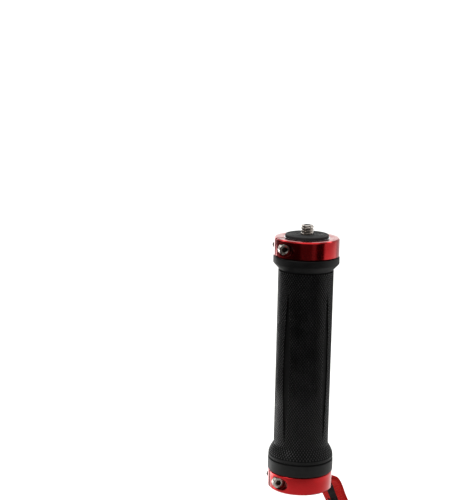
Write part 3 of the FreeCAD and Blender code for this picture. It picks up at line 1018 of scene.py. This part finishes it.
@dataclass
class KnurledSleeve:
    """Lock-on rubber sleeve: flanges at both ends, a fine diamond knurl and four leaf channels.

    Its material slots: plain rubber, the diamonds' worn tops painted lighter, and the grooves between
    them painted darker as shade.
    """

    around: int = 62
    rows: int = 51
    barrel: float = 13.4
    bore: float = 12.25
    flange: float = 16.0
    flange_round: float = 0.4
    ease: float = 0.12
    ease_run: float = 0.15
    knurl_depth: float = 0.42
    groove_half: float = 0.25
    band: float = 5.6
    neck_groove: float = 0.9
    neck_depth: float = 0.6
    neck_slope: float = 0.27
    lip: float = 1.3
    lip_drop: float = 0.1
    lip_ease: float = 0.25
    lip_run: float = 0.3
    shoulder: float = 5.4
    shoulder_power: float = 1.5
    upper_flange: float = 3.2
    upper_flare: float = 3.3
    channel_azimuth: float = 233.0
    channels: int = 4
    channel_reach: float = 75.5
    channel_width: float = 3.7
    channel_floor: float = 12.7
    channel_steps: int = 16
    cut_depth: float = 4.0

    def __post_init__(self) -> None:
        """Take the sleeve's ends from the CAD node."""
        low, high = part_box("grip_sleeve")
        self.base = low.z / MM
        self.length = (high.z - low.z) / MM
        self.knurl_low = self.band + self.neck_groove + self.lip
        self.knurl_high = self.length - self.upper_flange - self.upper_flare

    def outer(self, height: float) -> float:
        """Radius of the knurl's tops at a height over the sleeve's lower end.

        Args:
            height: millimetres over the lower end.

        Returns:
            The radius in millimetres.
        """
        share = min(max((height - self.knurl_low) / self.shoulder, 0.0), 1.0)
        rise = self.flange - self.lip_drop - self.barrel
        return self.barrel + rise * (1 - share ** self.shoulder_power)

    def lattice(self) -> Object:
        """Cylinder whose faces are all diamonds, each raised as a flat-topped stud.

        Returns:
            The open knurled skin.
        """
        span = self.knurl_high - self.knurl_low
        piece = added(
            "diamond_knurl_sleeve",
            bpy.ops.mesh.primitive_cylinder_add,
            vertices=self.around,
            radius=self.barrel * MM,
            depth=span * MM,
            end_fill_type="NOTHING",
            location=(0, 0, (self.knurl_low + span / 2) * MM),
        )
        for finish in (GRIP_RUBBER, WORN_RUBBER_PAINTED_LIGHT, GROOVE_RUBBER_PAINTED_SHADE):
            piece.data.materials.append(finish_of(finish))
        stud = {"thickness": self.groove_half * MM, "depth": self.knurl_depth * MM}
        sink = self.barrel + self.knurl_depth
        with editing(piece):
            pick(piece, "EDGE", lambda edge: abs(edge.verts[0].co.z - edge.verts[1].co.z) > MM)
            bpy.ops.mesh.subdivide(number_cuts=self.rows - 1)
            bpy.ops.mesh.select_all(action="SELECT")
            square = len(bmesh.from_edit_mesh(piece.data).verts)
            bpy.ops.mesh.poke()
            pick(
                piece,
                "EDGE",
                lambda edge: all(v.index < square for v in edge.verts) and not edge.is_boundary,
            )
            bpy.ops.mesh.dissolve_edges(use_verts=False)
            move_points(piece, lambda co: at_radius(co, self.barrel * MM))
            # Every face first gets the painted shade of the grooves, and the tops then get the lighter
            # rubber
            assign(piece, 2, lambda face: True)
            pick(piece, "FACE", lambda face: len(face.verts) == 4)
            bpy.ops.mesh.inset(use_individual=True, use_even_offset=True, **stud)
            # The diamonds' tops get the lighter rubber, partly wear and partly painted light on the
            # raised tops
            assign(piece, 1)
            move_points(
                piece,
                lambda co: at_radius(co, co.xy.length + (self.outer(co.z / MM) - sink) * MM),
            )
        return piece

    def ends(self, piece: Object) -> None:
        """Draw both open rims on to the flanges and through the bore, and close them.

        Args:
            piece: the knurled skin.
        """
        bead, neck = self.flange - self.lip_drop, self.flange - self.neck_depth
        groove_low, groove_high = self.band, self.band + self.neck_groove
        lower = [
            (bead - self.lip_ease, self.knurl_low),
            (bead, self.knurl_low - self.lip_run),
            (bead, groove_high + self.ease),
            (bead - self.ease, groove_high),
            (neck, groove_high - self.neck_slope),
            (neck, groove_low + self.neck_slope),
            (self.flange - self.ease, groove_low),
            (self.flange, groove_low - self.ease_run),
            *quarter_round(self.flange, 0.0, self.flange_round, way=-1),
            (self.bore, 0.0),
        ]
        flare = self.length - self.upper_flange
        upper = [
            (self.flange - self.ease, flare - self.ease_run),
            (self.flange, flare + self.ease),
            *quarter_round(self.flange, self.length, self.flange_round),
            (self.bore, self.length),
        ]
        zones = (
            (0, 0.0, self.knurl_low),
            (0, self.knurl_high, self.length),
            # The neck groove gets the painted shade too
            (2, groove_low, groove_high),
        )
        with editing(piece):
            for level, outline in ((self.knurl_low, lower), (self.knurl_high, upper)):
                for radius, height in outline:
                    pick(piece, "EDGE", lambda edge: is_rim(edge, level * MM))
                    bpy.ops.mesh.extrude_edges_move()
                    move_points(piece, lambda co: at_radius(co, radius * MM, height * MM), True)
                    level = height
            pick(piece, "EDGE", lambda edge: edge.is_boundary)
            bpy.ops.mesh.bridge_edge_loops()
            for slot, low, high in zones:
                assign(piece, slot, lambda face: is_between(face, low, high))

    def leaf(self) -> Object:
        """Leaf-shaped cutter for one long channel, lying in the sleeve's +X side.

        Returns:
            The closed cutter.
        """
        half_reach, half_width = self.channel_reach / 2, self.channel_width / 2
        bow = (half_reach ** 2 + half_width ** 2) / (2 * half_width)
        sweep = asin(half_reach / bow)
        corners = []
        for side in (1, -1):
            for step in range(self.channel_steps):
                angle = (2 * step / self.channel_steps - 1) * sweep * side
                out = side * (bow * cos(angle) - bow + half_width)
                corners.append((out, self.length / 2 + bow * sin(angle)))
        piece = wire("leaf", corners)
        reach = {"value": (0, self.cut_depth * MM, 0)}
        with editing(piece):
            bpy.ops.mesh.edge_face_add()
            bpy.ops.mesh.extrude_region_move(TRANSFORM_OT_translate=reach)
        piece.data.transform(Matrix.Rotation(-pi / 2, 4, "Z"))
        piece.data.transform(Matrix.Translation((self.channel_floor * MM, 0, 0)))
        return tidied(piece)

    def build(self) -> Object:
        """Make the whole sleeve.

        Returns:
            The closed sleeve in its place.
        """
        piece = self.lattice()
        self.ends(piece)
        tidied(piece)
        first = self.leaf()
        turns = [tau * number / self.channels for number in range(1, self.channels)]
        cutters = [first, *(copied(first, Matrix.Rotation(turn, 4, "Z")) for turn in turns)]
        whole = joined(cutters, "channels")
        whole.data.transform(Matrix.Rotation(radians(self.channel_azimuth), 4, "Z"))
        # The channels' cut faces get the painted shade of the grooves
        whole.data.materials.append(finish_of(GROOVE_RUBBER_PAINTED_SHADE))
        carve(piece, whole)
        piece.data.transform(Matrix.Translation((0, 0, self.base * MM)))
        smooth_faces(piece, angle=24.0)
        return piece


# Metal pieces


@dataclass
class ClampScrew:
    """Socket-head cap screw: knurled head, hexagon socket and rolled thread."""

    head: float = 2.75
    head_height: float = 3.0
    head_round: float = 0.45
    head_foot: float = 0.15
    socket: float = 2.5
    socket_depth: float = 1.5
    dish: float = 0.2
    dish_lap: float = 0.05
    shank_lap: float = 0.2
    reach: float = 12.0
    crest: float = 1.5
    root: float = 1.2
    pitch: float = 0.5
    tip: float = 0.35
    knurls: int = 36
    knurl_depth: float = 0.07
    azimuth: float = 200.0
    offset: float = 13.4
    seat: float = 4.2

    def cap(self, name: str) -> Object:
        """Turn the head, press its knurl and cut its socket.

        Args:
            name: the piece's name.

        Returns:
            The head, standing on the seat.
        """
        corner = self.socket / 2 / cos(pi / 6)
        corners = [
            (0.0, 0.0),
            (self.head - self.head_foot, 0.0),
            (self.head, self.head_foot),
            *quarter_round(self.head, self.head_height, self.head_round),
            (corner + self.dish, self.head_height),
            (corner - self.dish_lap, self.head_height - self.dish),
            (0.0, self.head_height - self.dish),
        ]
        head = turned(name, corners, steps=2 * self.knurls)
        share = 1 - self.knurl_depth / self.head
        for vertex in head.data.vertices:
            turn = round(atan2(vertex.co.y, vertex.co.x) / pi * self.knurls)
            if turn % 2 and vertex.co.xy.length > (self.head - CLOSE_MM) * MM:
                vertex.co.xy *= share
        head.data.materials.append(finish_of(STAINLESS))
        bar = hexagon_bar(self.socket, self.head_height - self.socket_depth, self.head_height * 2)
        # The socket's faces get steel darkened by oil and by painted shade
        bar.data.materials.append(finish_of(SOCKET_STEEL_OIL_AND_SHADE))
        carve(head, bar)
        return head

    def build(self, name: str, level: float) -> Object:
        """Make one screw and lay it in its ring.

        Args:
            name: the piece's name.
            level: height of its axis, in metres.

        Returns:
            The screw.
        """
        head = self.cap(name)
        ends = (-self.reach, self.shank_lap, self.tip)
        shank = ThreadedRod(self.crest, self.root, self.pitch, *ends, steps=28).build(name + "_shank")
        shank.data.materials.append(finish_of(OILED_THREAD))
        piece = joined([head, shank], name)
        out, way = compass(self.azimuth)
        aim = way.to_track_quat("Z", "X").to_matrix().to_4x4()
        spot = out * self.offset * MM + way * self.seat * MM + Vector((0, 0, level))
        piece.data.transform(Matrix.Translation(spot) @ aim)
        smooth_faces(piece, angle=28.0)
        return piece


@dataclass
class CameraStud:
    """Threaded stud: the standard camera thread above the seat and a thicker thread below it."""

    crest: float = 3.175
    root: float = 2.6
    pitch: float = 1.27
    reach: float = 4.5
    bevel: float = 0.6
    seat_drop: float = 1.5
    lower_crest: float = 4.0
    lower_root: float = 3.35
    lower_pitch: float = 1.25
    hexagon: float = 3.0
    neck_low: float = -1.8
    neck_high: float = 0.1

    def build(self) -> Object:
        """Make the stud.

        Returns:
            The stud in its place.
        """
        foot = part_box("camera_stud")[0].z / MM
        top = ThreadedRod(self.crest, self.root, self.pitch, 0.0, self.reach, self.bevel)
        upper = top.build("stud_top")
        carve(upper, hexagon_bar(self.hexagon, self.reach - self.hexagon, self.reach * 2))
        thick = (self.lower_crest, self.lower_root, self.lower_pitch)
        low = ThreadedRod(*thick, foot, -self.seat_drop, self.bevel)
        # Runs a little way into both threads
        neck = [(0, self.neck_low), (self.root, self.neck_low), (self.root, self.neck_high)]
        neck.append((0, self.neck_high))
        pieces = [upper, low.build("stud_foot"), turned("neck", neck, steps=48)]
        piece = joined(pieces, "threaded_camera_stud")
        smooth_faces(piece, angle=28.0)
        return piece


@dataclass
class SeatPad:
    """Rubber pad under the camera, with grooves that leave rings to bite on its base plate."""

    rim: float = 10.5
    hole: float = 3.5
    bevel: float = 0.3
    grooves: int = 4
    groove_top: float = 0.4
    groove_foot: float = 0.15
    groove_depth: float = 0.35
    edge_round: float = 0.06

    def build(self) -> Object:
        """Turn the pad with its grooves.

        Returns:
            The pad in its place.
        """
        low, high = (corner.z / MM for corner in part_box("camera_pad"))
        corners = [(self.hole, low), (self.rim, low), (self.rim, high - self.bevel)]
        corners.append((self.rim - self.bevel, high))
        pitch = (self.rim - self.hole) / (self.grooves + 1)
        bed = high - self.groove_depth
        for number in range(self.grooves):
            middle = self.rim - pitch * (number + 1)
            corners += [(middle + self.groove_top, high), (middle + self.groove_foot, bed)]
            corners += [(middle - self.groove_foot, bed), (middle - self.groove_top, high)]
        corners.append((self.hole, high))
        piece = turned("ribbed_seat_pad", corners)
        soften(piece, self.edge_round)
        return piece


class Carried(Enum):
    """CAD nodes whose shape stays, with rounded edges: node, piece, rounding, finish and slot."""

    TUBE = ("core_tube", "turned_core_tube", 0.12, TURNED_ALUMINIUM, "bare_aluminium")
    CAP = ("top_cap", "turned_top_cap", 0.15, TURNED_ALUMINIUM, "bare_aluminium")
    PLUG = ("bottom_plug", "moulded_bottom_plug", 0.2, BLACK_NYLON, "black_nylon")
    PIN = ("strap_pin", "polished_strap_pin", 0.15, STAINLESS, "stainless_steel")
    GRUBS = ("cap_grub_screws", "black_grub_screws", 0.12, BLACK_OXIDE, "blackened_steel")
    NUT = ("stud_lock_nut", "chamfered_lock_nut", 0.3, STAINLESS, "stainless_steel")
    LINER = ("grip_liner", "moulded_grip_liner", 0.15, BLACK_NYLON, "black_nylon")
    UPPER = ("upper_lock_ring", "anodised_upper_ring", 0.14, RED_ANODISED, "red_anodised_aluminium")
    LOWER = ("lower_lock_ring", "anodised_lower_ring", 0.14, RED_ANODISED, "red_anodised_aluminium")


# Studio


@dataclass
class Softbox:
    """One soft rectangular lamp, placed round the point that it faces."""

    name: str
    azimuth: float
    elevation: float
    distance: float
    width: float
    height: float
    power: float
    aim: tuple[float, float, float] = (0.0, 0.0, -0.065)

    def build(self) -> None:
        """Place the lamp."""
        data = bpy.data.lights.new(self.name, "AREA")
        data.shape = "RECTANGLE"
        data.size = self.width
        data.size_y = self.height
        data.energy = self.power
        lamp = placed(self.name, data)
        lamp.matrix_world = (
            Matrix.Translation(self.aim)
            @ Matrix.Rotation(radians(self.azimuth), 4, "Z")
            @ Matrix.Rotation(radians(90 - self.elevation), 4, "X")
            @ Matrix.Translation((0, 0, self.distance))
        )
        lamp.visible_camera = False


@dataclass
class Card:
    """Curved card round the upper end, which only shows as a darker band in what is glossy."""

    name: str
    tone: str
    start: float
    end: float
    low: float = -0.085
    high: float = 0.035
    throat: float = 0.035
    mouth: float = 0.085
    steps: int = 180

    def build(self) -> None:
        """Cut the card from a funnel round the grip."""
        card = added(
            self.name,
            bpy.ops.mesh.primitive_cone_add,
            vertices=self.steps,
            radius1=self.throat,
            radius2=self.mouth,
            depth=self.high - self.low,
            end_fill_type="NOTHING",
            location=(0, 0, (self.high + self.low) / 2),
        )
        with editing(card):
            pick(card, "FACE", lambda face: not self.start < self.bearing(face) < self.end)
            bpy.ops.mesh.delete(type="FACE")
        felt = {"Base Color": linear(self.tone), "Roughness": 1.0, "Specular IOR Level": 0.0}
        card.data.materials.append(shaded(new_material(self.name + "_felt"), felt))
        card.visible_camera = card.visible_diffuse = card.visible_shadow = False

    @staticmethod
    def bearing(face: BMFace) -> float:
        """Direction of a face from the grip, in degrees from the front towards the right."""
        middle = face.calc_center_median()
        return degrees(atan2(middle.x, -middle.y))


@dataclass
class Studio:
    """Pale floor that curves up into a backdrop, soft lamps and a pale surrounding."""

    floor_level: float = -0.345
    size: float = 8.0
    wall: float = 3.5
    wall_y: float = 2.6
    sweep: float = 1.2
    sweep_steps: int = 24
    surround: float = 0.55
    lamps: ClassVar[list[Softbox]] = [
        Softbox("key_left", -50.0, 38.0, 1.1, 0.6, 0.6, 5.0),
        Softbox("side_right", 101.0, 8.0, 0.75, 1.8, 0.8, 2.5),
        Softbox("low_left", -118.0, -14.0, 0.75, 0.8, 0.16, 1.9),
        Softbox("back_left", -152.0, 4.0, 1.1, 0.5, 0.8, 1.6),
        Softbox("backdrop", 0.0, 55.0, 1.9, 3.4, 1.2, 50.0, (0.0, 2.1, 0.0)),
        Softbox("top", 20.0, 80.0, 1.2, 0.9, 0.9, 4.0),
    ]
    cards: ClassVar[list[Card]] = [
        Card("card_left", "#212121", -124.0, -18.0),
        Card("card_front", "#4e4e4e", -18.0, 18.0),
        Card("card_middle", "#7e7e7e", 18.0, 31.0),
        Card("card_right", "#1c1c1c", 31.0, 58.0),
        Card("card_back", "#d0d0d0", 114.0, 150.0),
    ]

    def in_corner(self, edge: BMEdge) -> bool:
        """Whether an edge lies where the floor meets the backdrop."""
        top = self.floor_level + MM
        return all(v.co.y > self.wall_y - MM and v.co.z < top for v in edge.verts)

    def paper(self) -> Material:
        """Build the seamless paper's material.

        Returns:
            The material.
        """
        material = new_material("studio_paper")
        tree = material.node_tree
        place = add_node(tree, "TexCoord").outputs["Object"]
        cloud = add_node(tree, "TexNoise", {"Vector": place, "Scale": 3.0})
        tones = {6: linear("#ececea"), 7: linear("#f4f4f3")}
        tone = add_node(tree, "Mix", {0: cloud, **tones}, data_type="RGBA")
        return shaded(material, {"Base Color": tone.outputs[2], "Roughness": 0.9})

    def build(self) -> None:
        """Make the floor, the backdrop, the cards, the surrounding light and the lamps."""
        middle = (0, self.wall_y - self.size / 2, self.floor_level)
        sheet = {"size": self.size, "location": middle}
        floor = added("studio_floor", bpy.ops.mesh.primitive_plane_add, **sheet)
        with editing(floor):
            pick(floor, "EDGE", self.in_corner)
            bpy.ops.mesh.extrude_edges_move(TRANSFORM_OT_translate={"value": (0, 0, self.wall)})
            pick(floor, "EDGE", self.in_corner)
            bpy.ops.mesh.bevel(offset=self.sweep, segments=self.sweep_steps)
        smooth_faces(floor, angle=30.0)
        floor.data.materials.append(self.paper())
        for card in self.cards:
            card.build()
        world = bpy.data.worlds.new("pale_surround")
        world.use_nodes = True
        light = world.node_tree.nodes["Background"].inputs
        light["Color"].default_value = linear("#f1f1f1")
        light["Strength"].default_value = self.surround
        bpy.context.scene.world = world
        for lamp in self.lamps:
            lamp.build()


def main() -> None:
    """Build the pieces in order."""
    logging.basicConfig(level=logging.INFO, format="%(name)s %(message)s")
    bpy.context.scene.view_settings.view_transform = "Standard"
    PhotoView().build(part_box("lower_lock_ring")[0].z / MM)
    strap = WristStrap()
    band, points = strap.build()
    dressed(band, Webbing(), "handle", "wrist_strap")
    tack = dressed(BarTack().build(strap), THREAD, "handle", "strap_stitching")
    slider = Slider().build(strap)
    dressed(slider, SLIDER_PLASTIC, "slider", "strap_slider")
    dressed(KnurledSleeve().build(), GRIP_RUBBER, "handle", "grip_sleeve")
    for entry in Carried:
        node, name, rounding, finish, slot = entry.value
        dressed(softened_copy(node, name, rounding), finish, "handle", node)
    for side in ("upper", "lower"):
        low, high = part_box(side + "_lock_ring")
        screw = ClampScrew().build(side + "_socket_screw", (low.z + high.z) / 2)
        dressed(screw, STAINLESS, side + "_screw", side + "_clamp_screw")
    dressed(CameraStud().build(), STAINLESS, "handle", "camera_stud")
    dressed(SeatPad().build(), PAD_RUBBER, "handle", "camera_pad")
    Studio().build()


if __name__ == "__main__":
    main()
